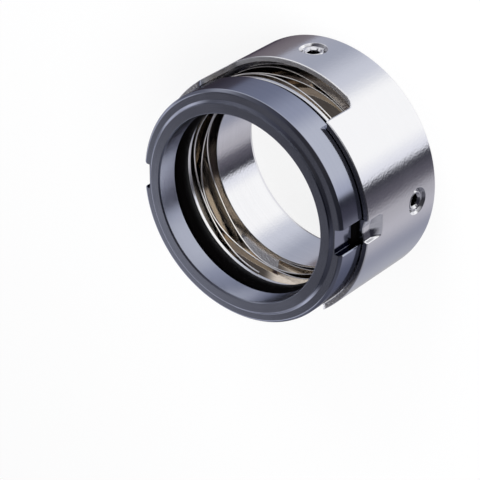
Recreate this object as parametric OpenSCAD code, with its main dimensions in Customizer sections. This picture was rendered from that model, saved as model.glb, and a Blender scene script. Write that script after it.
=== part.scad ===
// Rotary unit of a mechanical seal, driven by a crest-to-crest wave spring.
// It stands on the rear face of its collar: the shaft axis is Z, the lapped seal face looks up.
// Lengths are in millimetres and angles in degrees.

/* [Shaft and seal ring] */
// Diameter of the shaft that the unit slides onto
shaft_d = 50; // [40:0.5:60]
// Radial gap between the shaft and the bore of the seal ring
ring_bore_gap = 0.3; // [0.2:0.05:0.6]
// Wall of the seal ring outside the O-ring
ring_wall = 1.6; // [1.4:0.05:2.4]
// Length of the seal ring's outer cylinder
ring_len = 9.3; // [8:0.1:12]
// Gap between the thrust ring and the back of the seal ring
ring_back_gap = 1.7; // [0.8:0.1:2.2]
// Height of the flange face above the outer cylinder, set by its chamfer
flange_rise = 0.85; // [0.5:0.05:1.2]
// Height of the lapped nose above the flange face
nose_h = 0.95; // [0.6:0.05:1.6]
// Radial width of the lapped nose face, with its inner chamfer
nose_w = 2.9; // [2.2:0.1:3.2]
// Radial width of the rounded step at the foot of the nose
nose_foot = 0.65; // [0.3:0.05:0.8]
// Gap between a drive lug and each side of its slot
slot_side_gap = 0.4; // [0.2:0.05:0.8]
// Gap between a drive lug and the floor of its slot
slot_floor_gap = 0.75; // [0.4:0.05:0.9]

/* [O-ring and thrust ring] */
// Cord diameter of the O-ring
cord_d = 5; // [4.4:0.1:5.4]
// How far the free O-ring stands into the shaft bore
shaft_grip = 0.25; // [0.1:0.05:0.5]
// Thickness of the thrust ring
thrust_t = 1.2; // [0.8:0.1:2]
// Radial gap between the shaft and the thrust ring
thrust_gap_in = 1.1; // [0.5:0.1:1.5]
// Radial gap between the thrust ring and the skirt
thrust_gap_out = 1.15; // [0.9:0.05:1.6]

/* [Wave spring] */
// Free height of the wave spring
spring_h = 9.4; // [8:0.1:12]
// Turns of flat wire
spring_turns = 3; // [1:2:5]
// Full waves in each turn, always a whole number and a half
spring_waves = 3.5; // [2.5:1:5.5]
// Thickness of the flat wire
wire_t = 0.5; // [0.3:0.05:0.7]
// Radial width of the flat wire
wire_w = 4.5; // [3:0.1:4.8]
// Radial gap between the shaft and the spring
spring_gap = 0.7; // [0.5:0.1:1.2]
// Share of the full wave that is left at the two wire ends
end_wave = 0.5; // [0.3:0.05:0.8]
// Direction of the two wire ends, seen from the seal face
wire_end_angle = 261.4; // [180:0.1:300]

/* [Collar] */
// How far the skirt covers the back of the seal ring
rim_cover = 1.3; // [0.9:0.1:4]
// Length of the thick rear section
hub_len = 16.3; // [13:0.1:18]
// Wall of the thin skirt
skirt_wall = 1.35; // [1:0.05:2]
// Radial running gap between the seal ring and the skirt
skirt_gap = 0.25; // [0.2:0.05:0.5]
// Width of each window, measured straight across
window_w = 39.2; // [30:0.2:42]
// Thickness of the skirt's root between the spring seat and the windows
window_sill = 1.7; // [1:0.1:4]
// Corner radius of the windows
window_r = 2.5; // [1:0.1:4]
// Chamfer on the outer rear edge
rear_chamfer = 0.5; // [0.2:0.1:1.5]
// Length of the tapered lead into the shaft bore
lead_len = 1.7; // [0.5:0.1:3]
// Radial depth of that lead
lead_depth = 1; // [0.3:0.1:2]
// Width of the two pressed drive lugs
lug_w = 6; // [5:0.1:9]
// Height of the lugs' flats above the thrust ring, which they keep in
lug_keep = 1; // [0.9:0.05:1.5]
// Length of the ramp from the lug's flat back to the skirt
lug_ramp = 3.2; // [2:0.1:4]

/* [Set screws] */
// Thread diameter of the set screws
screw_d = 6; // [5:0.5:7]
// Length of the set screws
screw_len = 6; // [4:0.1:7]
// Distance from the collar's rear face to the screw axes
screw_z = 8.4; // [6:0.1:9]
// How deep the screws sit below the collar's outer surface
screw_sink = 0.6; // [0.2:0.1:0.9]
// Width across the flats of the hex socket
socket_af = 3; // [2:0.5:4]
// Depth of the hex socket
socket_depth = 3; // [2:0.1:3.5]
// Width of the chamfer at the mouth of each screw hole
mouth_chamfer = 0.7; // [0.3:0.1:1.2]

/* [Hidden] */
$fn = 128;

// Clearances shared by pieces that meet
seat_gap = 0.05;
turn_gap = 0.04;
thread_gap = 0.05;
lug_to_cord = 0.2;
shear_gap = 0.15;
edge_break = 0.15;
over = 1;

// Radii, from the shaft outwards
shaft_r = shaft_d / 2;
ring_bore_r = shaft_r + ring_bore_gap;
cord_in_r = shaft_r - shaft_grip;
cord_out_r = cord_in_r + cord_d;
pocket_r = cord_out_r + seat_gap;
ring_r = pocket_r + ring_wall;
skirt_r = ring_r + skirt_gap;
collar_r = skirt_r + skirt_wall;
lug_in = cord_out_r + lug_to_cord;
lug_out = lug_in + skirt_wall;
lug_root = skirt_r + skirt_wall / 2;
slot_floor = lug_in - slot_floor_gap;
slot_w = lug_w + 2 * slot_side_gap;
spring_in_r = shaft_r + spring_gap;
spring_out_r = spring_in_r + wire_w;
thrust_in_r = shaft_r + thrust_gap_in;
thrust_out_r = skirt_r - thrust_gap_out;

// Heights, stacked from the spring seat to the nose
spring_z = hub_len + seat_gap;
thrust_z = spring_z + spring_h + seat_gap;
thrust_top = thrust_z + thrust_t;
cord_z = thrust_top + seat_gap + cord_d / 2;
pocket_z = cord_z + cord_d / 2 + seat_gap;
ring_z = thrust_top + ring_back_gap;
flange_z = ring_z + ring_len;
face_z = flange_z + flange_rise;
nose_z = face_z + nose_h;
window_z = hub_len + window_sill;
collar_len = ring_z + rim_cover;
lug_flat_z = thrust_top + lug_keep;
lug_root_z = lug_flat_z - lug_ramp;

// Seal ring details
flange_chamfer = 0.7;
nose_chamfer = 0.3;
bore_chamfer = 0.4;
nose_out_r = ring_bore_r + nose_w;
foot_rise = nose_h / 2;
pocket_lead = 1.5;
pocket_lip = 0.4;
slot_flare = 0.35;

// Set screw details
screw_r = screw_d / 2 - thread_gap;
screw_chamfer = 0.6;
tip_r = collar_r - screw_sink - screw_len;
cup_r = screw_r / 2;
cup_depth = 0.8;
point_chamfer = 0.8;
socket_r = socket_af / 2 / cos(30);
socket_lead = 0.35;

// Wave spring: rings along the wire, and the wave's height at full size
rings_per_turn = 96;
spring_rings = rings_per_turn * spring_turns;
full_wave = (spring_h - wire_t - spring_turns * (wire_t + turn_gap)) / (spring_turns - 1 + 2 * end_wave);
lost_wave = full_wave * (1 - end_wave);

// Height of the wave after s turns: it grows over the first turn and shrinks over the last.
function wave_at(s) = full_wave - lost_wave * (max(0, 1 - s) + max(0, s - spring_turns + 1));

// How far the wire's middle line has come down after s turns: each turn takes up one wave and one wire.
function drop_at(s) = (wire_t + turn_gap + full_wave) * s
    - lost_wave * (1 - pow(max(0, 1 - s), 2) + pow(max(0, s - spring_turns + 1), 2)) / 2;

// Height of the wire's middle line after s turns. The half wave in each turn brings crest onto crest.
function wire_z(s) = spring_z + spring_h - (wire_t + wave_at(0)) / 2 - drop_at(s)
    + wave_at(s) / 2 * cos(360 * spring_waves * s);

// A point at radius r in the direction of the wire after s turns
function wire_point(r, s, z) = [r * cos(wire_end_angle - 360 * s), r * sin(wire_end_angle - 360 * s), z];

// The four corners of the flat wire after s turns
function wire_corners(s) = [
    wire_point(spring_in_r, s, wire_z(s) - wire_t / 2),
    wire_point(spring_out_r, s, wire_z(s) - wire_t / 2),
    wire_point(spring_out_r, s, wire_z(s) + wire_t / 2),
    wire_point(spring_in_r, s, wire_z(s) + wire_t / 2)
];

function quad(a, b, c, d) = [[a, b, c], [a, c, d]];

// Turned blank of the collar: thick hub, spring seat and thin skirt
module collar_blank() {
    rotate_extrude()
        polygon([
            [shaft_r + lead_depth, 0],
            [collar_r - rear_chamfer, 0],
            [collar_r, rear_chamfer],
            [collar_r, collar_len - edge_break],
            [collar_r - edge_break, collar_len],
            [skirt_r + edge_break, collar_len],
            [skirt_r, collar_len - edge_break],
            [skirt_r, hub_len],
            [shaft_r + edge_break, hub_len],
            [shaft_r, hub_len - edge_break],
            [shaft_r, lead_len]
        ]);
}

// One straight cut across the axis opens both windows, with round corners at the sill.
module window_cut() {
    rotate([90, 0, 0])
        linear_extrude(2 * (collar_r + over), center = true) {
            translate([-window_w / 2, window_z + window_r])
                square([window_w, collar_len - window_z]);
            translate([-window_w / 2 + window_r, window_z])
                square([window_w - 2 * window_r, 2 * window_r]);
            for (side = [-1, 1])
                translate([side * (window_w / 2 - window_r), window_z + window_r])
                    circle(window_r);
        }
}

// Side profiles of a lug: x is the distance from the axis, y the height.
module lug_body() {
    rotate([90, 0, 0])
        linear_extrude(lug_w, center = true)
            polygon([
                [lug_in, collar_len],
                [lug_in, lug_flat_z],
                [lug_root, lug_root_z],
                [lug_root, collar_len]
            ]);
}

module lug_dent() {
    ramp_rise = (collar_r - lug_out) / lug_ramp;
    rotate([90, 0, 0])
        linear_extrude(lug_w + 2 * shear_gap, center = true)
            polygon([
                [lug_out, collar_len + over],
                [lug_out, lug_flat_z],
                [collar_r, lug_root_z],
                [collar_r + over, lug_root_z - over / ramp_rise],
                [collar_r + over, collar_len + over]
            ]);
}

// Radial hole with a chamfered mouth, along +X at the screws' height
module screw_hole() {
    hole_r = screw_d / 2;
    translate([0, 0, screw_z])
        rotate([0, 90, 0]) {
            cylinder(h = collar_r + over, r = hole_r);
            translate([0, 0, collar_r - mouth_chamfer])
                cylinder(h = mouth_chamfer + over, r1 = hole_r, r2 = hole_r + mouth_chamfer + over);
        }
}

module collar() {
    color([0.75, 0.75, 0.79])
        difference() {
            union() {
                collar_blank();
                for (angle = [0, 180])
                    rotate([0, 0, angle])
                        lug_body();
            }
            window_cut();
            for (angle = [0, 180])
                rotate([0, 0, angle])
                    lug_dent();
            for (angle = [0, 90])
                rotate([0, 0, angle])
                    screw_hole();
        }
}

// Flat wire swept down a waving helix, clockwise from its front end when seen from the seal face
module wave_spring() {
    corners = [for (i = [0:spring_rings]) each wire_corners(i / rings_per_turn)];
    last = 4 * spring_rings;
    color([0.42, 0.37, 0.29])
        polyhedron(
            points = corners,
            faces = concat(
                [for (i = [0:spring_rings - 1]) for (k = [0:3])
                    each quad(4 * i + k, 4 * (i + 1) + k, 4 * (i + 1) + (k + 1) % 4, 4 * i + (k + 1) % 4)],
                quad(0, 1, 2, 3),
                quad(last + 3, last + 2, last + 1, last)
            ),
            convexity = 10
        );
}

module thrust_ring() {
    color([0.86, 0.86, 0.88])
        rotate_extrude()
            polygon([
                [thrust_in_r + edge_break, thrust_z],
                [thrust_out_r - edge_break, thrust_z],
                [thrust_out_r, thrust_z + edge_break],
                [thrust_out_r, thrust_z + thrust_t - edge_break],
                [thrust_out_r - edge_break, thrust_z + thrust_t],
                [thrust_in_r + edge_break, thrust_z + thrust_t],
                [thrust_in_r, thrust_z + thrust_t - edge_break],
                [thrust_in_r, thrust_z + edge_break]
            ]);
}

module o_ring() {
    color([0.03, 0.03, 0.03])
        rotate_extrude()
            translate([cord_in_r + cord_d / 2, cord_z])
                circle(d = cord_d);
}

// Drive slot along +X, flared where it meets the outer cylinder
module drive_slot() {
    translate([0, 0, ring_z - over])
        linear_extrude(nose_z - ring_z + 2 * over)
            polygon([
                [slot_floor, -slot_w / 2],
                [ring_r - slot_flare, -slot_w / 2],
                [ring_r + over, -slot_w / 2 - slot_flare - over],
                [ring_r + over, slot_w / 2 + slot_flare + over],
                [ring_r - slot_flare, slot_w / 2],
                [slot_floor, slot_w / 2]
            ]);
}

module seal_ring() {
    color([0.30, 0.31, 0.38])
        difference() {
            rotate_extrude()
                polygon([
                    [pocket_r + pocket_lip, ring_z],
                    [ring_r - edge_break, ring_z],
                    [ring_r, ring_z + edge_break],
                    [ring_r, flange_z],
                    [ring_r - flange_chamfer, face_z],
                    [nose_out_r + nose_foot, face_z],
                    [nose_out_r, face_z + foot_rise],
                    [nose_out_r, nose_z],
                    [ring_bore_r + nose_chamfer, nose_z],
                    [ring_bore_r, nose_z - bore_chamfer],
                    [ring_bore_r, pocket_z + pocket_lead],
                    [ring_bore_r + pocket_lead, pocket_z],
                    [pocket_r, pocket_z],
                    [pocket_r, ring_z + pocket_lip]
                ]);
            for (angle = [0, 180])
                rotate([0, 0, angle])
                    drive_slot();
        }
}

// Cup point set screw with a hex socket, tip towards the axis, along +X
module set_screw() {
    color([0.8, 0.8, 0.82])
        translate([tip_r, 0, screw_z])
            rotate([0, 90, 0])
                difference() {
                    rotate_extrude()
                        polygon([
                            [0, cup_depth],
                            [cup_r, 0],
                            [screw_r - point_chamfer, 0],
                            [screw_r, point_chamfer],
                            [screw_r, screw_len - screw_chamfer],
                            [screw_r - screw_chamfer, screw_len],
                            [0, screw_len]
                        ]);
                    translate([0, 0, screw_len - socket_depth])
                        cylinder(h = socket_depth + over, r = socket_r, $fn = 6);
                    translate([0, 0, screw_len - socket_lead])
                        cylinder(h = socket_lead + over, r1 = socket_r - socket_lead, r2 = socket_r + over);
                }
}

module set_screw_lug_side() {
    set_screw();
}

module set_screw_window_side() {
    rotate([0, 0, 90])
        set_screw();
}

collar();
wave_spring();
thrust_ring();
o_ring();
seal_ring();
set_screw_lug_side();
set_screw_window_side();
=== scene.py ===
import math

import bmesh
import bpy
import numpy as np
from mathutils import Matrix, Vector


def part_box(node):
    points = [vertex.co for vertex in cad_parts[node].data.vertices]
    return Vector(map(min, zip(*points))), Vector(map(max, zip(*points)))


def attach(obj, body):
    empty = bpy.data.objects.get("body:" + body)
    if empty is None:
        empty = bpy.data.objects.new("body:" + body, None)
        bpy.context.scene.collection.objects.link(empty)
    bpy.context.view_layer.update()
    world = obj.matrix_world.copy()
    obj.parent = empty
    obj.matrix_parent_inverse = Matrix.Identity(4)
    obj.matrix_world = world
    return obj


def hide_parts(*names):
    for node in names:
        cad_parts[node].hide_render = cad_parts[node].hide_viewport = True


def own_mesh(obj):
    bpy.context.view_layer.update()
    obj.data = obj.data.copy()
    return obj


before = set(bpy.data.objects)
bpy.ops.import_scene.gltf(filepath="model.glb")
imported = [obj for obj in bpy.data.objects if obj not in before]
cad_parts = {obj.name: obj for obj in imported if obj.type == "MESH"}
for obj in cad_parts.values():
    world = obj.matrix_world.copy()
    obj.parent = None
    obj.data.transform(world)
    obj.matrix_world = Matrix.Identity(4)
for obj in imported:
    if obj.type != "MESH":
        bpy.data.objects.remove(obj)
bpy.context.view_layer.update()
print("frame loaded:", ", ".join(sorted(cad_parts)))

mm = 0.001


# Low and high corner of a CAD node in millimetres
def nodeBox(node):
    low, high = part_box(node)
    return np.array(low) / mm, np.array(high) / mm


collarLow, collarHigh = nodeBox("collar")
ringLow, ringHigh = nodeBox("seal_ring")
cordLow, cordHigh = nodeBox("o_ring")
washerLow, washerHigh = nodeBox("thrust_ring")
springLow, springHigh = nodeBox("wave_spring")
screwLow, screwHigh = nodeBox("set_screw_lug_side")


# Helpers for shapes

# Lengths of the vectors in the rows of an array
def lengthOf(vectors):
    return np.linalg.norm(vectors, axis=1, keepdims=True)


# Corners of a path become arcs. With half angle h and radius r, an arc starts and ends r / tan(h) from
# its corner, round a centre r / sin(h) along the bisector. A point just outside each end keeps the flats
# next to it flat when they are shaded smooth.
def softPath(corners, radii, closed=True, steps=4, support=0.1):
    c = np.array(corners, float)
    r = np.array(radii, float)
    before, after = np.roll(c, 1, 0), np.roll(c, -1, 0)
    if not closed:
        first, last = c[:1], c[-1:]
        before, after, c, r = c[:-2], c[2:], c[1:-1], r[1:-1]
    toBefore, toAfter = before - c, after - c
    lengthBefore, lengthAfter = lengthOf(toBefore), lengthOf(toAfter)
    toBefore, toAfter = toBefore / lengthBefore, toAfter / lengthAfter
    half = np.arccos(np.clip((toBefore * toAfter).sum(1), -1, 1))[:, None] / 2
    r = r[:, None]
    cut = r / np.tan(half)
    bisector = toBefore + toAfter
    centre = c + bisector / lengthOf(bisector) * r / np.sin(half)
    start, end = c + toBefore * cut, c + toAfter * cut
    sweep = (np.pi - 2 * half)[:, :, None]
    t = np.linspace(0, 1, steps + 1)[None, :, None]
    fromStart, fromEnd = (start - centre)[:, None], (end - centre)[:, None]
    arc = np.sin((1 - t) * sweep) * fromStart + np.sin(t * sweep) * fromEnd
    arc = centre[:, None] + arc / np.sin(sweep)
    reach = np.minimum(r, support)
    lead = start + toBefore * np.minimum(reach, (lengthBefore - cut) / 4)
    trail = end + toAfter * np.minimum(reach, (lengthAfter - cut) / 4)
    path = np.concatenate([lead[:, None], arc, trail[:, None]], 1).reshape(-1, 2)
    return path if closed else np.concatenate([first, path, last])


# Points round the Z axis: x = r cos(a), y = r sin(a), z = height
def aroundAxis(r, angles, heights):
    x = r * np.cos(angles) + 0 * heights
    y = r * np.sin(angles) + 0 * heights
    return np.stack([x, y, heights + 0 * angles], -1)


# Directions spread evenly round the circle: 2 pi k / count
def evenAngles(count):
    return np.arange(count) * 2 * np.pi / count


# A quarter turn about the Z axis: x becomes -y, and y becomes x
def quarterTurn(points):
    return np.stack([-points[..., 1], points[..., 0], points[..., 2]], -1)


# Corner numbers of the cells of a grid, row by row. A closed way also joins its last line to its first.
def gridCells(rows, columns, closeRows, closeColumns):
    i = np.arange(rows if closeRows else rows - 1)[:, None]
    j = np.arange(columns if closeColumns else columns - 1)[None, :]
    nextI, nextJ = (i + 1) % rows, (j + 1) % columns
    cells = [i * columns + j, i * columns + nextJ, nextI * columns + nextJ, nextI * columns + j]
    return np.stack([c + 0 * (i + j) for c in cells], -1)


# Patches whose columns close, one for each grid of points
def tubes(*grids):
    return [dict(points=grid, closeColumns=True) for grid in grids]


# One mesh from several grids. Each patch is a dictionary with its points in millimetres, whether its rows
# and columns close, and a mask of the cells to keep. Points that meet are merged, so the shell closes.
def makePiece(name, patches, material, sharpDegrees=32, mergeMm=0.002):
    points, cells, count = [], [], 0
    for patch in patches:
        rows, columns = patch["points"].shape[:2]
        quads = gridCells(rows, columns, patch.get("closeRows"), patch.get("closeColumns"))
        keep = patch.get("keep")
        quads = quads.reshape(-1, 4) if keep is None else quads[keep]
        points.append(patch["points"].reshape(-1, 3))
        cells.append(quads + count)
        count += rows * columns
    mesh = bpy.data.meshes.new(name)
    mesh.from_pydata((np.concatenate(points) * mm).tolist(), [], np.concatenate(cells).tolist())
    shell = bmesh.new()
    shell.from_mesh(mesh)
    bmesh.ops.remove_doubles(shell, verts=shell.verts, dist=mergeMm * mm)
    bmesh.ops.dissolve_degenerate(shell, edges=shell.edges, dist=mergeMm * mm / 2)
    bmesh.ops.recalc_face_normals(shell, faces=shell.faces)
    openEdges = sum(len(e.link_faces) != 2 for e in shell.edges)
    shell.to_mesh(mesh)
    shell.free()
    mesh.shade_smooth()
    mesh.set_sharp_from_angle(angle=math.radians(sharpDegrees))
    piece = bpy.data.objects.new(name, mesh)
    bpy.context.scene.collection.objects.link(piece)
    mesh.materials.append(material)
    print("piece", name, "faces", len(mesh.polygons), "open edges", openEdges)
    return piece


# Helpers for materials

# A group of nodes that takes Vector and the numbers given, and puts out plain values
def newGroup(name, numbers, results):
    group = bpy.data.node_groups.new(name, "ShaderNodeTree")
    group.interface.new_socket("Vector", in_out="INPUT", socket_type="NodeSocketVector")
    for label, value in numbers.items():
        socket = group.interface.new_socket(label, in_out="INPUT", socket_type="NodeSocketFloat")
        socket.default_value = value
    for label in results:
        group.interface.new_socket(label, in_out="OUTPUT", socket_type="NodeSocketFloat")
    given, out = group.nodes.new("NodeGroupInput"), group.nodes.new("NodeGroupOutput")
    return group, given.outputs["Vector"], given.outputs, out.inputs


# Adds a node, sets its options, and links or fills its inputs by name, or by number as i0, i1 and i2
def addNode(tree, kind, options=None, **inputs):
    node = tree.nodes.new("ShaderNode" + kind)
    for key, value in (options or {}).items():
        setattr(node, key, value)
    for key, value in inputs.items():
        byNumber = key[0] == "i" and key[1:].isdigit()
        socket = node.inputs[int(key[1:]) if byNumber else key.replace("_", " ")]
        if isinstance(value, bpy.types.NodeSocket):
            tree.links.new(value, socket)
        else:
            socket.default_value = value
    return node


# The result of one Math node on sockets or plain numbers
def mathNode(tree, operation, *values):
    inputs = {f"i{k}": value for k, value in enumerate(values)}
    return addNode(tree, "Math", {"operation": operation}, **inputs).outputs[0]


# a * b + c, or a * b
def times(tree, a, b, c=None):
    return mathNode(tree, "MULTIPLY", a, b) if c is None else mathNode(tree, "MULTIPLY_ADD", a, b, c)


# (value - start) / (stop - start), held between 0 and 1
def shareBetween(tree, value, start, stop, shape="LINEAR"):
    options = {"interpolation_type": shape}
    node = addNode(tree, "MapRange", options, Value=value, From_Min=start, From_Max=stop)
    return node.outputs[0]


# Mixes two colours by the mask, each of them a socket or plain red, green and blue
def mixColour(tree, mask, low, high, blend="MIX"):
    low, high = (c if isinstance(c, bpy.types.NodeSocket) else (*c, 1) for c in (low, high))
    options = {"data_type": "RGBA", "blend_type": blend}
    return addNode(tree, "Mix", options, Factor=mask, A=low, B=high).outputs["Result"]


# Distance from the Z axis in millimetres: the length of (x, y, 0)
def radiusOf(tree, place):
    flat = addNode(tree, "VectorMath", {"operation": "MULTIPLY"}, i0=place, i1=(1, 1, 0))
    length = addNode(tree, "VectorMath", {"operation": "LENGTH"}, i0=flat.outputs[0])
    return times(tree, length.outputs["Value"], 1000.0)


# Distance from a middle plane in millimetres: the size of one coordinate
def asideOf(tree, coordinate):
    return times(tree, mathNode(tree, "ABSOLUTE", coordinate), 1000.0)


# Tool marks of turning: noise that only changes with the distance from the axis and with the height, so
# it forms rings. A little wide noise breaks the rings up. Height feeds a bump, Mask tints and roughens.
def buildTurningMarks():
    numbers = {"Pitch mm": 0.1, "Break up": 0.1}
    group, place, given, out = newGroup("turningMarks", numbers, ["Height", "Mask"])
    parts = addNode(group, "SeparateXYZ", Vector=place).outputs
    squareX = times(group, parts[0], parts[0])
    squareY = times(group, parts[1], parts[1])
    radius = mathNode(group, "SQRT", mathNode(group, "ADD", squareX, squareY))
    wide = addNode(group, "TexNoise", Vector=place, Scale=90.0, Detail=2.0)
    shift = times(group, wide.outputs[0], given["Break up"])
    perMetre = mathNode(group, "DIVIDE", 1000.0, given["Pitch mm"])
    across = mathNode(group, "ADD", times(group, radius, perMetre), shift)
    along = mathNode(group, "ADD", times(group, parts[2], perMetre), shift)
    rings = addNode(group, "CombineXYZ", X=across, Y=along).outputs[0]
    fine = addNode(group, "TexNoise", Vector=rings, Scale=1.0, Detail=3.0, Roughness=0.6).outputs[0]
    group.links.new(fine, out["Height"])
    group.links.new(shareBetween(group, fine, 0.35, 0.65), out["Mask"])
    return group


# Grain of a sintered or moulded surface: fine noise for the bump, sparse bright specks for the tint
def buildGrain():
    group, place, given, out = newGroup("grain", {"Size mm": 0.2}, ["Height", "Specks"])
    perMetre = mathNode(group, "DIVIDE", 1000.0, given["Size mm"])
    fine = addNode(group, "TexNoise", Vector=place, Scale=perMetre, Detail=2.0)
    cells = addNode(group, "TexVoronoi", Vector=place, Scale=perMetre)
    group.links.new(fine.outputs[0], out["Height"])
    group.links.new(shareBetween(group, cells.outputs["Distance"], 0.22, 0.08), out["Specks"])
    return group


# Faint clouds left by wiping and handling: the upper part of one wide noise
def buildHandling():
    group, place, given, out = newGroup("handling", {"Size mm": 12.0}, ["Mask"])
    perMetre = mathNode(group, "DIVIDE", 1000.0, given["Size mm"])
    wide = addNode(group, "TexNoise", Vector=place, Scale=perMetre, Detail=4.0, Roughness=0.65)
    group.links.new(shareBetween(group, wide.outputs[0], 0.42, 0.68), out["Mask"])
    return group


# Distance from the Z axis as a share: 0 at Start, 1 at Stop, which may lie on either side of it
def buildRecess():
    group, place, given, out = newGroup("recess", {"Start mm": 32.0, "Stop mm": 31.0}, ["Mask"])
    radius = radiusOf(group, place)
    mask = shareBetween(group, radius, given["Start mm"], given["Stop mm"], "SMOOTHSTEP")
    group.links.new(mask, out["Mask"])
    return group


# Side walls of the drive slots, where a painted shade goes: 1 where y is within 0.04 mm of the half width,
# outside the slot's floor
def buildSlotWalls():
    group, place, given, out = newGroup("slotWalls", {"Half mm": 3.4, "Floor mm": 29.2}, ["Mask"])
    parts = addNode(group, "SeparateXYZ", Vector=place).outputs
    near = mathNode(group, "COMPARE", asideOf(group, parts[1]), given["Half mm"], 0.04)
    beyond = mathNode(group, "GREATER_THAN", asideOf(group, parts[0]), given["Floor mm"])
    group.links.new(times(group, near, beyond), out["Mask"])
    return group


# Milled faces of the windows: 1 within the skirt's thickness, between two heights, and away from the lugs
def buildMilled():
    limits = {"Inner mm": 31.7, "Outer mm": 32.9, "Bottom mm": 17.5, "Top mm": 29.6, "Lug mm": 3.5}
    group, place, given, out = newGroup("milled", limits, ["Mask"])
    radius = radiusOf(group, place)
    parts = addNode(group, "SeparateXYZ", Vector=place).outputs
    height = times(group, parts[2], 1000.0)
    aside = asideOf(group, parts[1])
    mask = mathNode(group, "GREATER_THAN", radius, given["Inner mm"])
    tests = [("LESS_THAN", radius, "Outer mm"), ("GREATER_THAN", height, "Bottom mm"),
             ("LESS_THAN", height, "Top mm"), ("GREATER_THAN", aside, "Lug mm")]
    for operation, value, limit in tests:
        mask = times(group, mask, mathNode(group, operation, value, given[limit]))
    group.links.new(mask, out["Mask"])
    return group


turningMarks = buildTurningMarks()
milled = buildMilled()
recess = buildRecess()
slotWalls = buildSlotWalls()
grain = buildGrain()
handling = buildHandling()


# The results of a node group placed in a material with its own values
def placeGroup(tree, group, place, **numbers):
    return addNode(tree, "Group", {"node_tree": group}, Vector=place, **numbers).outputs


# Mask of a span of distances from the Z axis, from its start to its stop
def recessMask(tree, place, start, stop):
    return placeGroup(tree, recess, place, Start_mm=start, Stop_mm=stop)["Mask"]


# An empty material and its node tree
def newMaterial(name):
    material = bpy.data.materials.new(name)
    material.use_nodes = True
    material.node_tree.nodes.clear()
    return material, material.node_tree


# The three groups that every finish of the object uses, placed with the look's values
def sharedGroups(tree, place, look):
    marks = placeGroup(tree, turningMarks, place, Pitch_mm=look["pitch"], Break_up=look["breakUp"])
    grains = placeGroup(tree, grain, place, Size_mm=look["grainSize"])
    clouds = placeGroup(tree, handling, place, Size_mm=look["cloudSize"])
    return marks, grains, clouds


# A turned or drawn metal: two tones mixed by the tool marks, roughness raised by marks and handling. The
# bump adds the marks' depth and a fine peel, in millimetres. The tangent runs round the axis, so highlights
# stretch across the marks. As the look asks, a painted shade darkens holes inwards, painted highlights
# brighten the edges, and the windows' milled faces are rougher.
def turnedMetal(name, look):
    material, tree = newMaterial(name)
    place = addNode(tree, "TexCoord").outputs["Object"]
    marks, grains, clouds = sharedGroups(tree, place, look)
    rough = times(tree, marks["Mask"], look["markRough"], look["rough"])
    rough = times(tree, clouds["Mask"], look["cloudRough"], rough)
    peel = times(tree, grains["Height"], look["peelDepth"])
    height = times(tree, marks["Height"], look["markDepth"], peel)
    bump = addNode(tree, "Bump", Height=height, Strength=1.0, Distance=mm)
    around = addNode(tree, "VectorMath", {"operation": "CROSS_PRODUCT"}, i0=(0, 0, 1), i1=place)
    colour = mixColour(tree, marks["Mask"], look["dark"], look["light"])
    # Painted shade: the colour darkens to near black down in the hole
    if "deep" in look:
        start, stop, share = look["deep"]
        inside = recessMask(tree, place, start, stop)
        colour = mixColour(tree, inside, colour, (share,) * 3, "MULTIPLY")
    # Painted highlight: bands at the given distances from the axis are tinted near white
    for start, stop in look.get("edgeHighlights", []):
        colour = mixColour(tree, recessMask(tree, place, start, stop), colour, look["highlightColour"])
    if "millRough" in look:
        faces = placeGroup(tree, milled, place)
        rough = times(tree, faces["Mask"], look["millRough"], rough)
    shader = addNode(
        tree, "BsdfPrincipled", Metallic=1, Anisotropic=look["stretch"], Anisotropic_Rotation=0.25,
        Base_Color=colour, Roughness=rough, Normal=bump.outputs[0], Tangent=around.outputs[0])
    addNode(tree, "OutputMaterial", Surface=shader.outputs[0])
    return material


# A sintered carbide or moulded rubber: grain and marks in the bump and in the tint, roughness raised by
# handling. As the look asks, a painted shade darkens the slots' side walls and the bore is rougher. The
# edge tint colours what shines at a glancing angle.
def grainedBody(name, look):
    material, tree = newMaterial(name)
    place = addNode(tree, "TexCoord").outputs["Object"]
    marks, grains, clouds = sharedGroups(tree, place, look)
    markTint = times(tree, marks["Mask"], look["markTint"])
    tint = times(tree, grains["Specks"], look["speckTint"], markTint)
    rough = times(tree, clouds["Mask"], look["cloudRough"], look["rough"])
    height = times(tree, marks["Height"], look["markShare"], grains["Height"])
    bump = addNode(tree, "Bump", Height=height, Strength=look["bump"], Distance=look["depth"] * mm)
    colour = mixColour(tree, tint, look["dark"], look["light"])
    # Painted shade: the slots' side walls are darkened to near black
    if "wallShade" in look:
        halfWidth, floorX, share = look["wallShade"]
        wallShade = placeGroup(tree, slotWalls, place, Half_mm=halfWidth, Floor_mm=floorX)
        colour = mixColour(tree, wallShade["Mask"], colour, (share,) * 3, "MULTIPLY")
    if "bore" in look:
        start, stop, boreRough = look["bore"]
        rough = times(tree, recessMask(tree, place, start, stop), boreRough, rough)
    shader = addNode(
        tree, "BsdfPrincipled", Metallic=look["metallic"], IOR=look["ior"], Base_Color=colour,
        Specular_Tint=(*look["edgeTint"], 1), Roughness=rough, Normal=bump.outputs[0])
    addNode(tree, "OutputMaterial", Surface=shader.outputs[0])
    return material


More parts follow.
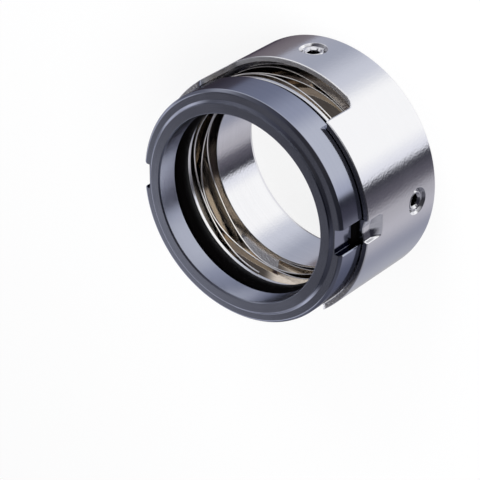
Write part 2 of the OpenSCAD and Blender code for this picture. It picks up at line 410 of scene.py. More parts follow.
collarSteel = turnedMetal("collarSteel", dict(
    dark=(0.89, 0.89, 0.91), light=(0.95, 0.95, 0.97), pitch=0.12, breakUp=0.25, stretch=0.55,
    rough=0.085, markRough=0.04, cloudSize=14.0, cloudRough=0.04, markDepth=0.0012, grainSize=0.56,
    peelDepth=0.023, millRough=0.36))
# The spring wire's inner and outer edges get painted highlights
springSteel = turnedMetal("springSteel", dict(
    dark=(0.56, 0.49, 0.40), light=(0.70, 0.63, 0.54), pitch=0.2, breakUp=0.5, stretch=0.3,
    rough=0.04, markRough=0.02, cloudSize=5.0, cloudRough=0.03, markDepth=0.0006, grainSize=0.8,
    peelDepth=0.002, edgeHighlights=((25.9, 25.8), (30.0, 30.1)), highlightColour=(1.0, 0.97, 0.92)))
washerSteel = turnedMetal("washerSteel", dict(
    dark=(0.92, 0.92, 0.92), light=(0.97, 0.97, 0.97), pitch=0.1, breakUp=0.3, stretch=0.4,
    rough=0.16, markRough=0.06, cloudSize=9.0, cloudRough=0.05, markDepth=0.0015, grainSize=0.3,
    peelDepth=0.003))
# The screw gets a painted shade down in its hole
screwSteel = turnedMetal("screwSteel", dict(
    dark=(0.72, 0.72, 0.75), light=(0.92, 0.92, 0.94), pitch=0.3, breakUp=0.8, stretch=0.0,
    rough=0.03, markRough=0.03, cloudSize=2.0, cloudRough=0.03, markDepth=0.001, grainSize=0.4,
    peelDepth=0.003, deep=(32.0, 31.5, 0.04)))
# The carbide's slot side walls get a painted shade
carbide = grainedBody("carbide", dict(
    dark=(0.42, 0.445, 0.54), light=(0.48, 0.505, 0.60), grainSize=0.12, speckTint=0.5, markTint=0.5,
    pitch=0.15, breakUp=0.3, markShare=0.6, cloudSize=16.0, cloudRough=0.03, rough=0.11, bump=0.1,
    depth=0.01, metallic=1.0, ior=2.4, edgeTint=(0.35, 0.35, 0.385), wallShade=(3.4, 29.35, 0.04),
    bore=(25.6, 25.4, 0.13)))
sealRubber = grainedBody("sealRubber", dict(
    dark=(0.0008, 0.0007, 0.0007), light=(0.003, 0.002, 0.002), grainSize=0.08, speckTint=0.6,
    markTint=0.3, pitch=0.4, breakUp=0.3, markShare=0.2, cloudSize=8.0, cloudRough=0.1, rough=0.5,
    bump=0.2, depth=0.01, metallic=0.0, ior=1.2, edgeTint=(0.9, 0.9, 0.99)))
print("materials made:", len(bpy.data.materials))


# Collar: hub, skirt with two windows, two pressed drive lugs, two screw holes

collarForm = dict(
    skirtR=31.65, boreR=25.0, seatZ=16.3, baseZ=17.0, shoulderZ=15.0, sillZ=18.0, windowHalf=19.6,
    sillRadius=2.5, rimCorner=0.5, edge=0.14, seatFillet=0.25, cornerSoft=0.15, leadSoft=0.3,
    lugHalf=3.0, lugShear=0.15, lugInnerX=29.95, lugRampZ=(24.8, 28.0), dentRampZ=(23.9, 27.1),
    rampEase=0.1, dentHalf=3.15, dentFlank=0.4, flankEase=0.25, dentFlat=0.7, dentSag=0.45,
    draft=0.02, lipAlong=0.3, lipAcross=0.17, lipSupport=0.05, innerSupport=0.1,
    leadR=26.0, leadZ=1.7, rearChamfer=0.5,
    screwZ=8.4, holeR=3.0, mouthR=3.65, mouthDepth=0.7, mouthSoft=0.06, boreSoft=0.12,
    patchHalf=4.6, patchLine=3.9, sideGap=0.02, tongueLines=28, sillLines=8)

# Turns of the lines in the rim's corner and in the sill's fillet
cornerTurn = np.radians([90, 72, 54, 36, 18, 0])
sillTurn = np.radians(np.linspace(90, 0, 9))[1:]


# Lines of the square patch round a screw hole, measured from the hole's axis. They crowd at the edges of
# the lug above the hole.
def patchLines(form):
    flankSteps = np.array([-1.35, -1.15, -1, -0.85, -0.5, -0.15, 0, 0.15, 0.35])
    flank = form["dentHalf"] + form["dentFlank"] * flankSteps
    lugSide = [form["lugHalf"], form["lugHalf"] + form["lugShear"] + form["sideGap"]]
    floor = np.linspace(form["dentFlat"], flank[0], 6)[:-1]
    crowd = np.unique([*flank, *lugSide])
    return np.array([0, form["dentFlat"] / 2, *floor, *crowd, form["patchLine"], form["patchHalf"]])


# The patch's lines on both sides of the hole's axis
def mirroredLines(form):
    lines = patchLines(form)
    return np.concatenate([-lines[:0:-1], lines])


# Directions of the collar's lines for a wall of radius r, in one quarter from the lug to the window's
# middle. Near the lug a line keeps its y, so its angle is asin(y / r). In the window, which is cut
# straight through, it keeps its x, so its angle is acos(x / r). Between them the angles are spread evenly.
# inset moves the window's outline into the metal.
def quarterAngles(form, r, inset):
    lines = patchLines(form)
    atLug = np.arcsin(lines / r)
    edgeAngle = np.arccos((form["windowHalf"] + inset) / r)
    corner = edgeAngle - (form["rimCorner"] - inset) * (1 - np.cos(cornerTurn)) / r
    tongue = np.linspace(atLug[-1], corner[0], form["tongueLines"] + 2)[1:-1]
    filletX = form["windowHalf"] - form["sillRadius"]
    fillet = np.arccos((filletX + (form["sillRadius"] + inset) * np.sin(sillTurn)) / r)
    sill = np.arccos(np.linspace(filletX, lines[-1], form["sillLines"] + 2)[1:-1] / r)
    middle = np.arccos(lines[::-1] / r)
    return np.concatenate([atLug, tongue, corner, fillet, sill, middle])


# The quarter mirrored into the full circle. Angles count on round it, other values are only mirrored.
def fullCircle(quarter, isAngle=True):
    second = np.pi - quarter[::-1] if isAngle else quarter[::-1]
    half = np.concatenate([quarter, second[1:]])
    other = np.pi + half[1:-1] if isAngle else half[1:-1]
    return np.concatenate([half, other])


# Heights of the outline for each line of a quarter. In the window it follows the sill and its round
# corner, and the tongue's own outline follows the rim and its corner.
def quarterTops(form, rim, inset):
    lines, tongue, sill = len(patchLines(form)), form["tongueLines"], form["sillLines"]
    cornerR = form["rimCorner"] - inset
    filletZ = form["sillZ"] + form["sillRadius"]
    tongueTop = np.concatenate([
        np.full(lines + tongue, rim - inset), rim - inset - cornerR * (1 - np.sin(cornerTurn)),
        np.full(len(sillTurn) + sill + lines, np.nan)])
    windowTop = np.concatenate([
        np.full(lines + tongue + len(cornerTurn), filletZ),
        filletZ - (form["sillRadius"] + inset) * np.cos(sillTurn),
        np.full(sill + lines, form["sillZ"] - inset)])
    return tongueTop, windowTop


# Skins and outline of one wall radius: rows from the hub up to the sill, and the two tongues above it
def skirtWall(form, rim, r, inset, sillRows, tongueRows):
    quarter = quarterAngles(form, r, inset)
    tongueTop, windowTop = quarterTops(form, rim, inset)
    angles = fullCircle(quarter)
    low = fullCircle(windowTop, False)
    count = len(quarter) - 1
    edge = len(patchLines(form)) + form["tongueLines"] + len(cornerTurn) - 1
    band = aroundAxis(r, angles, form["baseZ"] + (low - form["baseZ"]) * sillRows[:, None])
    floor = form["sillZ"] + form["sillRadius"]
    top = np.concatenate([tongueTop[edge:0:-1], tongueTop[:edge + 1]])
    tongues = []
    for start in (0, 2 * count):
        pick = np.arange(start - edge, start + edge + 1) % (4 * count)
        tongues.append(aroundAxis(r, angles[pick], floor + (top - floor) * tongueRows[:, None]))
    windows = [np.arange(edge, 2 * count - edge + 1), np.arange(2 * count + edge, 4 * count - edge + 1)]
    outline = np.concatenate([
        band[-1][windows[0]], tongues[1][1:, 0], tongues[1][-1, 1:], tongues[1][-2::-1, -1],
        band[-1][windows[1]][1:], tongues[0][1:, 0], tongues[0][-1, 1:], tongues[0][-2:0:-1, -1]])
    return angles, band, tongues, outline


# Straight ramp from 0 to 1 whose two corners are parabolas that reach w to either side of them
def softRamp(t, w):
    t = np.clip(t, -w, 1 + w)
    start, stop = (t + w) ** 2 / (4 * w), 1 - (1 + w - t) ** 2 / (4 * w)
    return np.where(t < w, start, np.where(t > 1 - w, stop, t))


# The lugs are pressed in: between the ramp's two heights a wall point moves from its own distance to a
# flat that keeps the wall's thickness. The inside ends sharply at the lug's sides. The dent outside sags
# towards its sides and ends in steep flanks. Points within the wall blend the two by their depth.
def pressLugs(form, points):
    x, y, z = points[..., 0], points[..., 1], points[..., 2]
    r = np.hypot(x, y)
    depth = np.clip((r - form["skirtR"]) / (collarHigh[0] - form["skirtR"]), 0, 1)

    # How far a height has climbed the ramp between the span's two heights
    def rise(span):
        return softRamp((z - span[0]) / (span[1] - span[0]), form["rampEase"])

    aside = np.abs(y)
    shear = np.clip((form["lugHalf"] + form["lugShear"] - aside) / form["lugShear"], 0, 1)
    pastFlat = (aside - form["dentFlat"]) / (form["dentHalf"] - form["dentFlat"])
    sag = 1 - form["dentSag"] * np.clip(pastFlat, 0, 1)
    flank = softRamp((form["dentHalf"] - aside) / form["dentFlank"], form["flankEase"])
    inside = rise(form["lugRampZ"]) * shear
    outside = rise(form["dentRampZ"]) * sag * flank
    target = form["lugInnerX"] + r - form["skirtR"]
    pressed = points.copy()
    pressed[..., 0] = x + np.sign(x) * (target - np.abs(x)) * (inside + (outside - inside) * depth)
    return pressed


# Square patch with a round hole on a wall of radius r: each ring is a blend of the circle and the
# square's edge, laid on the wall by x = sqrt(r^2 - y^2). The tube's rings keep their own distances.
def holePatches(form, outerR):
    full = mirroredLines(form)
    flat = 0 * full[:-1] + form["patchHalf"]
    y = np.concatenate([full[:-1], flat, full[:0:-1], -flat])
    z = np.roll(y, len(flat))
    length = np.hypot(y, z)
    cosine, sine = y / length, z / length

    # Circle + (square - circle) * blend, laid on the wall
    def wallRing(r, holeR, blend):
        ringY = holeR * cosine + (y - holeR * cosine) * blend
        ringZ = holeR * sine + (z - holeR * sine) * blend
        return np.stack([np.sqrt(r * r - ringY ** 2), ringY, form["screwZ"] + ringZ], -1)

    holeR, mouthR, boreR = form["holeR"], form["mouthR"], form["boreR"]
    blends = [1, 0.7, 0.4, 0.2, 0.08, 0]
    outer = np.stack([wallRing(outerR, mouthR + form["mouthSoft"], b) for b in blends])
    inner = np.stack([wallRing(boreR, holeR + form["boreSoft"], b) for b in blends[::-1]])

    # Distance and radius of the tube's rings. The small steps soften the edges of mouth, cone and bore.
    mouthX = np.sqrt(outerR ** 2 - (mouthR * cosine) ** 2)
    boreX = np.sqrt(boreR ** 2 - (holeR * cosine) ** 2)
    coneX = outerR - form["mouthDepth"]
    stations = [
        (mouthX - 0.03, mouthR), (mouthX - 0.1, mouthR - 0.07), (coneX + 0.08, holeR + 0.08),
        (coneX, holeR + 0.02), (coneX - 0.08, holeR), (boreX + 0.2, holeR), (boreX + 0.1, holeR + 0.02),
        (boreX + 0.02, holeR + 0.08)]
    tube = [np.stack([x + 0 * cosine, r * cosine, form["screwZ"] + r * sine], -1) for x, r in stations]
    return np.concatenate([outer, np.stack(tube), inner])


# Two skins of the skirt by skirtWall, an edge band between their outlines, a hub turned from one path,
# and the two hole patches. The lugs are pressed into the skins and the band last.
def buildCollar(form):
    outerR, rim = min(collarHigh[0], -collarLow[1]), collarHigh[2]
    skirtR, boreR, baseZ = form["skirtR"], form["boreR"], form["baseZ"]
    full = mirroredLines(form)
    sillRows = np.array([0, 0.35, 0.7, 0.88, 1])
    tongueZ = np.concatenate([[20.5, 21.6, 22.6], np.linspace(23.5, 28.4, 25), [28.9, 29.3, 29.6, 29.7]])
    tongueRows = (tongueZ - tongueZ[0]) / (tongueZ[-1] - tongueZ[0])

    def wall(r, inset):
        return skirtWall(form, rim, r, inset, sillRows, tongueRows)

    edge, lip = form["edge"], form["lipAlong"]
    angles, outerBand, outerTongues, outerLine = wall(outerR, lip)
    _, innerBand, innerTongues, innerLine = wall(skirtR, edge)
    outerCorner = wall(outerR, form["draft"])[3]
    innerCorner = wall(skirtR, 0)[3]

    # The edge band runs from skin to skin: a flat lip outside, a quadratic curve round the inner corner
    across = innerCorner - outerCorner
    step = across / lengthOf(across)
    wallOuter, wallInner = outerCorner + step * form["lipAcross"], innerCorner - step * edge
    share = np.array([0, 0.12, 0.5, 0.88, 1])[:, None, None]
    t = np.linspace(0, 1, 5)[:, None, None]
    bend = (1 - t) ** 2 * wallInner + 2 * t * (1 - t) * innerCorner + t * t * innerLine
    supports = [wallOuter + step * form["lipSupport"], wallInner - step * form["innerSupport"]]
    band = np.concatenate([outerLine + (wallOuter - outerLine) * share, supports, bend])

    # The hub's path runs from the inner skin over the spring seat, down the bore and up the outside
    holeRows = form["screwZ"] + full
    soft, chamfer = form["cornerSoft"], form["rearChamfer"]
    inside = softPath(
        [(skirtR, baseZ), (skirtR, form["seatZ"]), (boreR, form["seatZ"]), (boreR, holeRows[-1])],
        [0, form["seatFillet"], soft, 0], closed=False)
    rear = softPath(
        [(boreR, holeRows[0]), (boreR, form["leadZ"]), (form["leadR"], 0), (outerR - chamfer, 0),
         (outerR, chamfer), (outerR, holeRows[0])],
        [0, form["leadSoft"], soft, soft, soft, 0], closed=False)
    boreRows = [(boreR, z) for z in holeRows[::-1]]
    outerRows = [(outerR, z) for z in (*holeRows, form["shoulderZ"], baseZ)]
    path = np.concatenate([inside[:-1], boreRows, rear[1:-1], outerRows])
    onSkirt = path[:, 0] < skirtR + 0.01
    quarters = [quarterAngles(form, r, edge if on else lip) for r, on in zip(path[:, 0], onSkirt)]
    hub = aroundAxis(path[:, :1], np.stack([fullCircle(q) for q in quarters]), path[:, 1:])

    # Cells inside the two square patches are left out of the hub, on the bore and on the outside
    rows, columns = len(path) - 1, len(angles)
    keep = np.ones((rows, columns), bool)
    boreStart = len(inside) - 1
    outerStart = boreStart + len(full) + len(rear) - 2
    half = len(full) // 2
    for centre in (0, columns // 4):
        span = np.arange(centre - half, centre + half) % columns
        for start in (boreStart, outerStart):
            keep[np.ix_(np.arange(start, start + 2 * half), span)] = False

    hole = holePatches(form, outerR)
    patches = [dict(points=hub, closeColumns=True, keep=keep)]
    patches += tubes(outerBand, innerBand, pressLugs(form, band), hole, quarterTurn(hole))
    patches += [dict(points=pressLugs(form, tongue)) for tongue in outerTongues + innerTongues]
    return makePiece("collarTurned", patches, collarSteel)


collarPiece = buildCollar(collarForm)
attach(collarPiece, "collar_body")
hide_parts("collar")


# Seal ring: flange, lapped nose, O-ring pocket and two drive slots

ringForm = dict(
    outerR=31.4, boreR=25.3, noseR=28.2, noseFoot=0.5, noseChamfer=(0.3, 0.4), footR=28.85, faceZ=38.85,
    flangeR=30.7, flangeZ=38.0, pocketR=29.8, pocketZ=32.1, pocketLead=1.5, lipR=30.2, lipZ=29.1,
    floorX=29.2, slotHalf=3.4, flare=0.35, flareLead=0.12, footLine=0.2, footSoft=0.06, floorLines=9,
    arcLines=119)


# Each point of the turned section has its own direction at a slot's side, asin(y / r), so that the slot's
# walls are flat. Round the ring the direction runs evenly from one slot to the other. Inside a slot the
# point moves straight towards the pocket's wall radius, then towards the flat floor.
def buildSealRing(form):
    outerR, rearZ, noseZ = form["outerR"], ringLow[2], ringHigh[2]
    boreR, chamfer, lead = form["boreR"], form["noseChamfer"], form["pocketLead"]
    noseR, pocketR, pocketZ = form["noseR"], form["pocketR"], form["pocketZ"]

    # Radius, height and softness of each corner
    corners = np.array([
        (form["lipR"], rearZ, 0.1), (outerR, rearZ, 0.18), (outerR, form["flangeZ"], 0.3),
        (form["flangeR"], form["faceZ"], 0.3), (form["footR"], form["faceZ"], 0.12),
        (noseR, form["faceZ"] + form["noseFoot"], 0.15), (noseR, noseZ, 0.1),
        (boreR + chamfer[0], noseZ, 0.06), (boreR, noseZ - chamfer[1], 0.1), (boreR, pocketZ + lead, 0.2),
        (boreR + lead, pocketZ, 0.15), (pocketR, pocketZ, 0.04), (pocketR, form["lipZ"], 0.1)])
    section = softPath(corners[:, :2], corners[:, 2])
    r, z = section[:, 0], section[:, 1]

    # The section where it meets the plane of this y: x = sqrt(r^2 - y^2)
    def atY(y):
        return np.stack([np.sqrt(r * r - y * y), np.full(len(r), float(y)), z], -1)

    # What lies outside the pocket's radius comes in to it, and what lies below its roof goes up to it
    def firstStop(y):
        stop = atY(y)
        limit = pocketR - 0.001
        stop[:, 0] = np.where(r > limit, math.sqrt(limit ** 2 - y * y), stop[:, 0])
        stop[:, 2] = np.where(r > form["floorX"], np.maximum(z, pocketZ), z)
        return stop

    # Then it comes in to the flat floor
    def atFloor(y):
        stop = firstStop(y)
        stop[:, 0] = np.minimum(stop[:, 0], form["floorX"])
        return stop

    # From a straight towards b by this length, and no further
    def towards(a, b, length):
        return a + (b - a) * np.clip(length / np.maximum(lengthOf(b - a), 1e-9), 0, 1)

    half, flare, lead = form["slotHalf"], form["flare"], form["flareLead"]
    line, soft = form["footLine"], form["footSoft"]
    side = [
        atY(half + flare + lead), atY(half + flare), towards(atY(half), firstStop(half), flare),
        firstStop(half), towards(atFloor(half), firstStop(half), line),
        towards(atFloor(half - soft), firstStop(half - soft), soft), atFloor(half - line)]
    floor = [atFloor(y) for y in np.linspace(half - flare, -half + flare, form["floorLines"])]
    slot = side + floor + [s * (1, -1, 1) for s in side[::-1]]
    startAngle = np.arcsin((half + flare + lead) / r)
    shares = np.linspace(0, 1, form["arcLines"] + 2)[1:-1]
    arc = [aroundAxis(r, startAngle + (np.pi - 2 * startAngle) * share, z) for share in shares]
    halfRing = slot[::-1] + arc
    points = np.stack(halfRing + [s * (-1, -1, 1) for s in halfRing])
    patch = dict(points=points, closeRows=True, closeColumns=True)
    return makePiece("sealRingTurned", [patch], carbide, sharpDegrees=28)


ringPiece = buildSealRing(ringForm)
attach(ringPiece, "seal_head")
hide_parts("seal_ring")


# A closed section of (radius, height) points turned round the Z axis into a closed ring
def turnedRing(name, section, around, material, sharpDegrees=32):
    points = aroundAxis(section[:, :1], evenAngles(around)[None], section[:, 1:])
    patch = dict(points=points, closeRows=True, closeColumns=True)
    return makePiece(name, [patch], material, sharpDegrees)


# O-ring: round cord with the fine parting line of its mould

cordForm = dict(around=288, section=48, flashHeight=0.04, flashWidth=0.12)


# r = R + (c + f) cos(b), z = Z + (c + f) sin(b), where f is a narrow bell on the outer and inner equator
def buildCord(form):
    cordR = (cordHigh[2] - cordLow[2]) / 2
    middleR, middleZ = cordHigh[0] - cordR, (cordHigh[2] + cordLow[2]) / 2
    b = evenAngles(form["section"])
    offset = cordR * np.sin(b)
    flash = form["flashHeight"] * np.exp(-(offset / form["flashWidth"]) ** 2) - form["flashHeight"]
    section = np.stack([middleR + (cordR + flash) * np.cos(b), middleZ + (cordR + flash) * np.sin(b)], 1)
    return turnedRing("cordRing", section, form["around"], sealRubber, sharpDegrees=60)


cordPiece = buildCord(cordForm)
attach(cordPiece, "seal_head")
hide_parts("o_ring")


# Thrust ring: flat ring with soft edges

washerForm = dict(innerR=26.1, edge=0.2, around=288)


# A rectangle of radius and height with its four corners rounded, turned round the axis
def buildWasher(form):
    innerR, outerR, low, high = form["innerR"], washerHigh[0], washerLow[2], washerHigh[2]
    section = softPath([(innerR, low), (outerR, low), (outerR, high), (innerR, high)], [form["edge"]] * 4)
    return turnedRing("thrustWasher", section, form["around"], washerSteel)


washerPiece = buildWasher(washerForm)
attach(washerPiece, "seal_head")
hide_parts("thrust_ring")


# Wave spring: flat wire, crest to crest

springForm = dict(
    innerR=25.7, outerR=30.2, turns=3, waves=3.5, wire=0.5, turnGap=0.04, endWave=0.5, endAngle=261.4,
    wireEdge=0.12, perTurn=240)


# The wire's height after s turns is z = top - drop(s) + wave(s) / 2 * cos(2 pi waves s). wave(s) grows
# over the first turn and shrinks over the last, and drop(s) takes up one wire and one wave for each turn,
# so the half wave left over in each turn brings the crests of one turn onto the troughs of the next.
def buildSpring(form):
    bottom, top, innerR, outerR = springLow[2], springHigh[2], form["innerR"], form["outerR"]
    turns, wire = form["turns"], form["wire"]
    pitch = wire + form["turnGap"]
    fullWave = (top - bottom - wire - turns * pitch) / (turns - 1 + 2 * form["endWave"])
    lost = fullWave * (1 - form["endWave"])
    s = np.linspace(0, turns, form["perTurn"] * turns + 1)
    head, tail = np.maximum(0, 1 - s), np.maximum(0, s - turns + 1)
    wave = fullWave - lost * (head + tail)
    drop = (pitch + fullWave) * s - lost * (1 - head ** 2 + tail ** 2) / 2
    z = top - (wire + wave[0]) / 2 - drop + wave / 2 * np.cos(2 * np.pi * form["waves"] * s)
    angle = np.radians(form["endAngle"]) - 2 * np.pi * s
    h = wire / 2
    corners = [(innerR, -h), (outerR, -h), (outerR, h), (innerR, h)]
    section = softPath(corners, [form["wireEdge"]] * 4, steps=3)
    points = aroundAxis(section[None, :, 0], angle[:, None], z[:, None] + section[None, :, 1])
    middle = points.mean(1)
    middle[:, 2] = z
    caps = [np.stack([points[k] + (middle[k] - points[k]) * t for t in (0, 0.5, 1)]) for k in (0, -1)]
    return makePiece("waveSpring", tubes(points, *caps), springSteel)


springPiece = buildSpring(springForm)
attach(springPiece, "collar_body")
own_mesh(springPiece)
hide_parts("wave_spring")


# Set screws: thread, cup point and hex socket

screwForm = dict(
    threadDepth=0.55, threadPitch=1.0, crestFlat=1.25, threadRows=121, threadEnd=0.4, socketFlats=3.0,
    socketDepth=3.0, socketLead=0.45, drillTip=0.5, topChamfer=0.6, pointChamfer=0.8, cupR=1.475,
    cupDepth=0.8, poleR=0.001, around=144)


# Rows of (radius, distance along the screw). The thread is a triangle wave that climbs one pitch a turn
# and fades at both ends. The socket's radius is the hexagon's: (flats / 2) / cos(angle from the flat).
def buildScrew(form, name, turnIt):
    crest = (screwHigh[2] - screwLow[2]) / 2
    tip, length = screwLow[0], screwHigh[0] - screwLow[0]
    point, top, sixth = form["pointChamfer"], form["topChamfer"], math.pi / 3
    a = evenAngles(form["around"])[None]
    ends = point * form["threadEnd"], length - top * form["threadEnd"]
    along = np.linspace(*ends, form["threadRows"])[:, None]
    phase = (along / form["threadPitch"] - a / (2 * np.pi)) % 1
    ridge = 1 - np.abs(2 * phase - 1)
    depth = form["threadDepth"] * (1 - np.clip(ridge * form["crestFlat"], 0, 1))
    room = np.minimum(along / point, (length - along) / top)
    limit = crest - np.maximum(0, 1 - room) * top
    outside = np.minimum(crest - depth, limit)
    hexR = form["socketFlats"] / 2 / np.cos((a + sixth / 2) % sixth - sixth / 2)
    cornerR = form["socketFlats"] / 2 / math.cos(sixth / 2)

    # From the cup's middle over the tip, up the thread, over the top and down the socket. The small steps
    # soften the edges.
    cupR, cupDepth, drillTip = form["cupR"], form["cupDepth"], form["drillTip"]
    topR, leadR = crest - top, cornerR + form["socketLead"]
    leadEnd, floor = length - form["socketLead"], length - form["socketDepth"]
    rows = [
        (form["poleR"], cupDepth), (cupR * 0.5, cupDepth * 0.5), (cupR * 0.95, 0.04), (cupR + 0.08, 0.0),
        (crest - point - 0.08, 0.0)]
    rows += zip(outside, along[:, 0])
    rows += [
        (topR + 0.08, length - 0.06), (topR - 0.02, length), (leadR + 0.05, length),
        (leadR - 0.02, length - 0.03), (cornerR + 0.04, leadEnd + 0.02),
        (np.minimum(cornerR, hexR + 0.06), leadEnd - 0.03), (hexR, leadEnd - 0.1), (hexR, floor + 0.06),
        (hexR * 0.94, floor), (hexR * 0.5, floor - drillTip / 2), (form["poleR"], floor - drillTip)]
    radius = np.concatenate([row[0] * np.ones_like(a) for row in rows])
    distance = np.array([row[1] for row in rows])[:, None] + tip + 0 * a
    z = (screwHigh[2] + screwLow[2]) / 2
    points = np.stack([distance, radius * np.cos(a), z + radius * np.sin(a)], -1)
    points = quarterTurn(points) if turnIt else points
    return makePiece(name, tubes(points), screwSteel, sharpDegrees=40)


screwPlaces = [("screwLugSide", "set_screw_lug_side", "screw_lug_side", False),
               ("screwWindowSide", "set_screw_window_side", "screw_window_side", True)]
for screwName, screwNode, screwBody, turnIt in screwPlaces:
    screwPiece = buildScrew(screwForm, screwName, turnIt)
    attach(screwPiece, screwBody)
    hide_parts(screwNode)


# Studio: world, floor and lamps. Turns are in degrees from the camera's own side, and heights are the Z
# of a direction, from -1 straight down to 1 straight up.

studio = dict(
    cameraTurn=40.4, floorHalf=1.5, floorMatt=(0.9, 0.9, 0.9), floorWhite=0.82,
    fillColour=(0.55, 0.55, 0.5665), tableColour=(0.80, 0.80, 0.83), behindColour=(0.95, 0.95, 1.0),
    tableEnd=(-0.95, -0.82), belowEnd=(-0.62, -0.48), levelEnd=(0.05, 0.3),
    behindSide=(0.35, 0.65), behindTop=(0.705, 0.60), behindFoot=(0.0, 0.25),
    below=[
        (-180, (0.42, 0.42, 0.44)), (-165, (0.46, 0.46, 0.48)), (-148, (0.38, 0.39, 0.45)),
        (-118, (0.29, 0.30, 0.37)), (-92, (0.48, 0.47, 0.52)), (-76, (0.42, 0.41, 0.45)),
        (-58, (0.10, 0.095, 0.12)), (-43, (0.04, 0.04, 0.052)), (-37, (0.78, 0.79, 0.86)),
        (-18, (1.0, 1.0, 1.0)), (25, (1.0, 1.0, 1.0)), (52, (0.60, 0.62, 0.70)),
        (85, (0.36, 0.38, 0.46)), (113, (0.38, 0.39, 0.46)), (123, (0.19, 0.17, 0.19)),
        (150, (0.14, 0.12, 0.14)), (161, (0.05, 0.04, 0.06)), (173, (0.05, 0.04, 0.06))],
    level=[
        (-180, (0.95, 0.95, 0.98)), (-163, (0.95, 0.95, 0.98)), (-150, (0.40, 0.40, 0.43)),
        (-118, (0.14, 0.14, 0.17)), (-70, (0.33, 0.33, 0.37)), (-50, (0.02, 0.02, 0.03)),
        (-25, (0.02, 0.02, 0.03)), (0, (0.40, 0.40, 0.42)), (40, (0.95, 0.95, 0.97)),
        (90, (0.90, 0.90, 0.92)), (118, (0.22, 0.22, 0.25)), (132, (0.26, 0.26, 0.29)),
        (144, (0.95, 0.95, 0.98))],
    above=[
        (-180, (0.10, 0.097, 0.105)), (-120, (0.05, 0.05, 0.06)), (-78, (0.09, 0.09, 0.11)),
        (-54, (0.026, 0.026, 0.033)), (-28, (0.035, 0.035, 0.040)), (0, (0.055, 0.052, 0.055)),
        (28, (0.05, 0.048, 0.055)), (54, (0.09, 0.09, 0.11)), (95, (0.20, 0.20, 0.22)),
        (140, (0.04, 0.04, 0.05)), (170, (0.10, 0.097, 0.105))])


# World: white where the camera sees it, a plain fill for the light on matt surfaces, and in reflections a
# ring of cards round the object with a darker room above. Each ramp runs once round the Z axis.
def buildWorld(look):
    world = bpy.data.worlds.new("studioWorld")
    bpy.context.scene.world = world
    world.use_nodes = True
    tree = world.node_tree
    tree.nodes.clear()
    direction = addNode(tree, "TexCoord").outputs["Generated"]
    parts = addNode(tree, "SeparateXYZ", Vector=direction).outputs
    height = parts[2]
    angle = mathNode(tree, "ARCTAN2", parts[1], parts[0])
    turns = times(tree, angle, 0.5 / math.pi, 0.5 - look["cameraTurn"] / 360)
    turns = mathNode(tree, "FRACT", turns)

    # Colours at their turns in degrees, eased from one to the next
    def ramp(stops):
        node = addNode(tree, "ValToRGB", i0=turns)
        node.color_ramp.interpolation = "EASE"
        elements = node.color_ramp.elements
        while len(elements) > 1:
            elements.remove(elements[-1])
        for k, (degrees, colour) in enumerate(stops):
            position = (degrees + 180) / 360
            element = elements.new(position) if k else elements[0]
            element.position, element.color = position, (*colour, 1)
        return node.outputs[0]

    # 0 where the span starts and 1 where it ends, eased
    def stepUp(value, span):
        return shareBetween(tree, value, span[0], span[1], "SMOOTHSTEP")

    # Bands by the direction's height: table, cards below the horizon, cards on it, the dark room
    cards = mixColour(tree, stepUp(height, look["tableEnd"]), look["tableColour"], ramp(look["below"]))
    cards = mixColour(tree, stepUp(height, look["belowEnd"]), cards, ramp(look["level"]))
    cards = mixColour(tree, stepUp(height, look["levelEnd"]), cards, ramp(look["above"]))

    # A bright card behind the object: opposite the camera and under about 45 degrees
    cameraSide = math.radians(look["cameraTurn"])
    away = addNode(tree, "VectorMath", {"operation": "DOT_PRODUCT"}, i0=direction,
                   i1=(-math.cos(cameraSide), -math.sin(cameraSide), 0))
    behind = stepUp(away.outputs["Value"], look["behindSide"])
    behind = times(tree, behind, stepUp(height, look["behindTop"]))
    behind = times(tree, behind, stepUp(height, look["behindFoot"]))
    cards = mixColour(tree, behind, cards, look["behindColour"])

    path = addNode(tree, "LightPath").outputs
    light = mixColour(tree, path["Is Glossy Ray"], look["fillColour"], cards)
    light = mixColour(tree, path["Is Camera Ray"], light, (1, 1, 1))
    background = addNode(tree, "Background", Color=light)
    addNode(tree, "OutputWorld", Surface=background.outputs[0])


# Floor: matt white that keeps the shadow, lifted to white for the camera. Reflections look through it at
# the cards below the horizon.
def buildFloor(look):
    half = look["floorHalf"]
    mesh = bpy.data.meshes.new("floor")
    corners = [(-half, -half, 0), (half, -half, 0), (half, half, 0), (-half, half, 0)]
    mesh.from_pydata(corners, [], [(0, 1, 2, 3)])
    floor = bpy.data.objects.new("floor", mesh)
    bpy.context.scene.collection.objects.link(floor)
    material, tree = newMaterial("floorWhite")
    path = addNode(tree, "LightPath").outputs
    matt = addNode(tree, "BsdfDiffuse", Color=(*look["floorMatt"], 1)).outputs[0]
    glow = addNode(tree, "Emission", Color=(1, 1, 1, 1), Strength=1.0).outputs[0]
    clear = addNode(tree, "BsdfTransparent").outputs[0]
    share = times(tree, path["Is Camera Ray"], look["floorWhite"])
    lifted = addNode(tree, "MixShader", i0=share, i1=matt, i2=glow).outputs[0]
    seen = addNode(tree, "MixShader", i0=path["Is Glossy Ray"], i1=lifted, i2=clear).outputs[0]
    addNode(tree, "OutputMaterial", Surface=seen)
    mesh.materials.append(material)


# Where a camera or lamp stands: right, up and back are the columns, and its place is the last one
def standing(right, up, back, place):
    return Matrix([[right[k], up[k], back[k], place[k]] for k in range(3)] + [[0, 0, 0, 1]])


lamps = [dict(name="keyLamp", size=(0.35, 0.35), power=2.2, place=(0.35, 0.05, 0.45), aim=(0, 0, 0.02)),
         dict(name="sideLamp", size=(0.3, 0.2), power=1.0, place=(-0.1, 0.45, 0.3), aim=(0, 0, 0.02))]


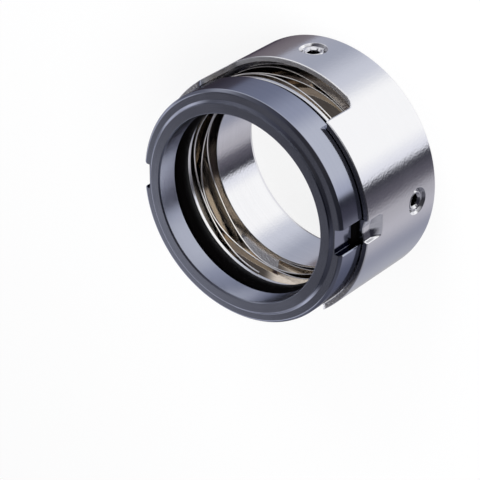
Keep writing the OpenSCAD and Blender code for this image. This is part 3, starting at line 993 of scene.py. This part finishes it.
# A soft rectangle of light that looks at its aim, with its longer way level. Reflections don't show it.
def addLamp(form):
    light = bpy.data.lights.new(form["name"], "AREA")
    light.shape = "RECTANGLE"
    light.size, light.size_y = form["size"]
    light.energy = form["power"]
    lamp = bpy.data.objects.new(form["name"], light)
    lamp.visible_glossy = False
    back = np.array(form["place"], float) - np.array(form["aim"], float)
    back /= np.linalg.norm(back)
    side = np.cross((0, 0, 1), back)
    side /= np.linalg.norm(side)
    lamp.matrix_world = standing(side, np.cross(back, side), back, form["place"])
    bpy.context.scene.collection.objects.link(lamp)


buildWorld(studio)
buildFloor(studio)
for lampForm in lamps:
    addLamp(lampForm)
print("studio ready")


# Camera: it looks down on the seal face, rolled so that the shaft's axis leans to the lower left

cameraForm = dict(turn=41.35, lift=44.14, roll=-121.5, distance=573.95, focal=172.0, sensor=36.0,
                  clipStart=0.01, aimHeight=38.0, slideRight=0.4243, slideUp=8.2)


# back = (cos lift cos turn, cos lift sin turn, sin lift). The level right and up vectors turn about it by
# the roll. The camera stands its distance along back from the aim, slid a little in its own plane.
def buildCamera(form):
    turn, lift, roll = (math.radians(form[k]) for k in ("turn", "lift", "roll"))
    back = np.array([math.cos(lift) * math.cos(turn), math.cos(lift) * math.sin(turn), math.sin(lift)])
    level = np.array([-math.sin(turn), math.cos(turn), 0])
    upright = np.cross(back, level)
    right = math.cos(roll) * level + math.sin(roll) * upright
    up = np.cross(back, right)
    aim = np.array([0, 0, form["aimHeight"]]) - form["slideRight"] * right - form["slideUp"] * up
    place = (aim + form["distance"] * back) * mm
    lens = bpy.data.cameras.new("photoCamera")
    lens.sensor_fit = "HORIZONTAL"
    lens.sensor_width = form["sensor"]
    lens.lens = form["focal"]
    lens.clip_start = form["clipStart"]
    camera = bpy.data.objects.new("photoCamera", lens)
    camera.matrix_world = standing(right, up, back, place)
    bpy.context.scene.collection.objects.link(camera)
    bpy.context.scene.camera = camera


buildCamera(cameraForm)
bpy.context.scene.view_settings.view_transform = "Standard"
print("camera placed")
